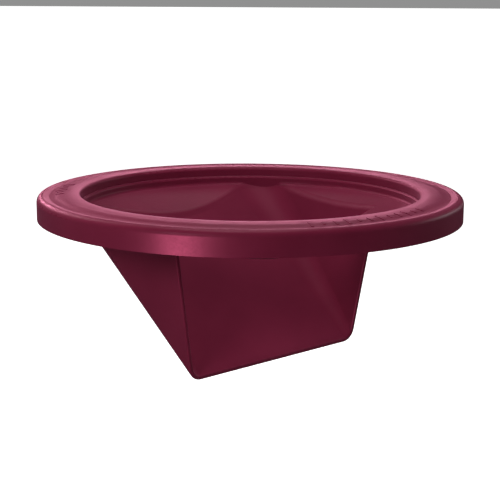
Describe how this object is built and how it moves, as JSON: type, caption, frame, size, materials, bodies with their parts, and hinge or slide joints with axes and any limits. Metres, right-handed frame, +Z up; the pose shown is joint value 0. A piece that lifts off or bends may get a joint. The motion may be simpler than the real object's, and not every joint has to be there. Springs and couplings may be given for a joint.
{
  "type": "catch bowl with side-exit chute",
  "caption": "Round-rimmed moulded catch bowl whose shallow shelf drains into a sloping hopper that opens at the side.",
  "frame": {"origin": "centre of the rim's flat underside, in the plane of the skirt's lower edge", "axes": "+Z up out of the bowl's mouth, -Y the way the chute opens, X along the exit lip"},
  "size_m": [0.6099, 0.61, 0.2426],
  "materials": {
    "rim_plastic": "semi-gloss moulded",
    "pan_plastic": "semi-gloss moulded",
    "chute_plastic": "semi-gloss moulded",
    "screw_steel": "zinc plated"
  },
  "bodies": {
    "root": {"rim_ring": "rim_plastic", "bowl_pan": "pan_plastic", "chute": "chute_plastic", "rim_screws": "screw_steel"}
  },
  "joints": []
}
